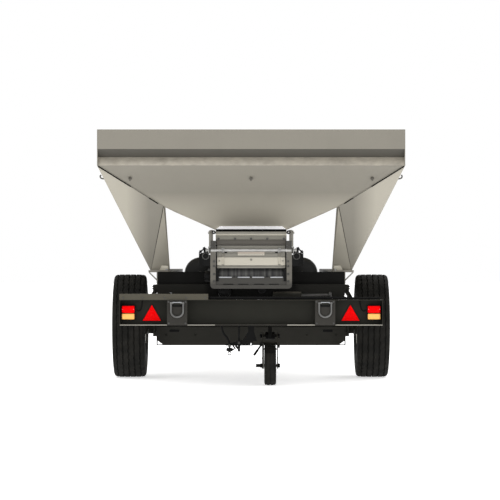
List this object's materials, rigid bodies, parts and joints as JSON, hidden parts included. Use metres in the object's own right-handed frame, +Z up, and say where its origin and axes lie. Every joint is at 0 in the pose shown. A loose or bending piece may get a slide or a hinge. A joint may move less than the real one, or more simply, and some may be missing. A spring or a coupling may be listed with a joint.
{
  "type": "trailed bulk spreader",
  "caption": "Single-axle trailed spreader with a folded steel hopper over a belt conveyor, sliding rear gate, lamp beam, drawbar, jack and ground wheel.",
  "frame": {"origin": "on the ground, under the middle of the whole machine's bounding box", "axes": "+Y from the rear rim of the hopper towards the towing eye, +X to the right as seen from behind, +Z up"},
  "size_m": [2.55, 5.35, 2.138],
  "materials": {
    "hopper_beige": "satin beige-grey enamel on folded sheet steel",
    "leg_beige": "satin beige-grey enamel on steel plate",
    "dark_paint": "satin charcoal enamel on structural steel",
    "black_paint": "semi-gloss black enamel",
    "rim_cream": "cream enamel on pressed steel",
    "gate_cream": "cream enamel on flat plate",
    "bare_steel": "zinc-plated or worn bare steel",
    "chrome_rod": "polished hard chrome",
    "tyre": "matt black rubber with circumferential ribs",
    "belt_rubber": "matt black rubber",
    "red_lens": "clear red moulded lens",
    "amber_lens": "clear amber moulded lens"
  },
  "bodies": {
    "chassis": {"hopper_rear_wall": "hopper_beige", "hopper_front_wall": "hopper_beige", "hopper_left_wall": "hopper_beige", "hopper_right_wall": "hopper_beige", "hopper_tie_rear": "hopper_beige", "hopper_tie_front": "hopper_beige", "rear_leg_left": "leg_beige", "rear_leg_right": "leg_beige", "side_support_left_middle": "leg_beige", "side_support_left_front": "leg_beige", "side_support_right_middle": "leg_beige", "side_support_right_front": "leg_beige", "rail_left": "dark_paint", "rail_right": "dark_paint", "rear_cross_member": "dark_paint", "middle_cross_member": "dark_paint", "front_cross_member": "dark_paint", "drawbar": "dark_paint", "towing_eye": "dark_paint", "jack_sleeve": "dark_paint", "axle_beam": "dark_paint", "axle_cradle": "dark_paint", "lamp_beam": "dark_paint", "step_board": "dark_paint", "stop_lamp_left": "red_lens", "stop_lamp_right": "red_lens", "turn_lamp_left": "amber_lens", "turn_lamp_right": "amber_lens", "reflector_left": "red_lens", "reflector_right": "red_lens", "conveyor_trough": "dark_paint", "conveyor_belt": "belt_rubber", "belt_motor": "black_paint", "belt_scraper": "dark_paint", "reservoir_left": "black_paint", "reservoir_right": "black_paint", "outlet_frame": "leg_beige", "ram_barrel": "dark_paint", "coupler_bracket": "black_paint", "hose_left": "belt_rubber", "hose_right": "belt_rubber"},
    "left_wheel": {"wheel_rim_left": "rim_cream", "tyre_left": "tyre"},
    "right_wheel": {"wheel_rim_right": "rim_cream", "tyre_right": "tyre"},
    "ground_arm": {"wheel_fork": "dark_paint"},
    "ground_wheel": {"ground_tyre": "tyre", "ground_rim": "rim_cream"},
    "arm_lever": {"fork_lever": "black_paint"},
    "parking_leg": {"jack_leg": "bare_steel"},
    "outlet_gate": {"gate": "gate_cream"},
    "gate_drive": {"gate_shaft": "bare_steel"},
    "dust_flap": {"outlet_flap": "leg_beige", "flap_curtain": "belt_rubber"},
    "rear_roller": {"drive_roller": "bare_steel"},
    "front_roller": {"idler_roller": "bare_steel"},
    "left_ring": {"lashing_ring_left": "bare_steel"},
    "right_ring": {"lashing_ring_right": "bare_steel"},
    "ram_piston": {"ram_rod": "chrome_rod"}
  },
  "joints": [
    {"name": "left_wheel_spin", "type": "hinge", "parent": "chassis", "child": "left_wheel", "pos_m": [-1.083, -0.925, 0.4605], "axis": [1, 0, 0], "continuous": true},
    {"name": "right_wheel_spin", "type": "hinge", "parent": "chassis", "child": "right_wheel", "pos_m": [1.083, -0.925, 0.4605], "axis": [1, 0, 0], "continuous": true},
    {"name": "arm_swing", "type": "hinge", "parent": "chassis", "child": "ground_arm", "pos_m": [0.161, -2.055, 0.41], "axis": [1, 0, 0], "range_deg": [-20, 4]},
    {"name": "ground_wheel_spin", "type": "hinge", "parent": "ground_arm", "child": "ground_wheel", "pos_m": [0.161, -2.275, 0.166], "axis": [1, 0, 0], "continuous": true},
    {"name": "lever_turn", "type": "hinge", "parent": "ground_arm", "child": "arm_lever", "pos_m": [0.085, -2.205, 0.335], "axis": [1, 0, 0], "range_deg": [0, 40]},
    {"name": "jack_slide", "type": "slide", "parent": "chassis", "child": "parking_leg", "axis": [0, 0, 1], "range_m": [0, 0.3]},
    {"name": "gate_turn", "type": "hinge", "parent": "chassis", "child": "gate_drive", "pos_m": [0, -2.51, 1.137], "axis": [1, 0, 0], "range_deg": [0, 350]},
    {"name": "gate_lift", "type": "slide", "parent": "chassis", "child": "outlet_gate", "axis": [0, 0, 1], "range_m": [0, 0.11]},
    {"name": "flap_swing", "type": "hinge", "parent": "chassis", "child": "dust_flap", "pos_m": [0, -2.497, 1.284], "axis": [1, 0, 0], "range_deg": [-75, 0]},
    {"name": "rear_roller_spin", "type": "hinge", "parent": "chassis", "child": "rear_roller", "pos_m": [0, -2.41, 0.92], "axis": [1, 0, 0], "continuous": true},
    {"name": "front_roller_spin", "type": "hinge", "parent": "chassis", "child": "front_roller", "pos_m": [0, 0.825, 0.92], "axis": [1, 0, 0], "continuous": true},
    {"name": "left_ring_swing", "type": "hinge", "parent": "chassis", "child": "left_ring", "pos_m": [-0.614, -2.639, 0.7], "axis": [1, 0, 0], "range_deg": [-90, 3]},
    {"name": "right_ring_swing", "type": "hinge", "parent": "chassis", "child": "right_ring", "pos_m": [0.614, -2.639, 0.7], "axis": [1, 0, 0], "range_deg": [-90, 3]},
    {"name": "ram_slide", "type": "slide", "parent": "chassis", "child": "ram_piston", "axis": [1, 0, 0], "range_m": [0, 0.11]}
  ],
  "couplings": [
    {"joint": "gate_lift", "follows": "gate_turn", "m_per_rad": 0.018},
    {"joint": "front_roller_spin", "follows": "rear_roller_spin", "ratio": 1}
  ]
}
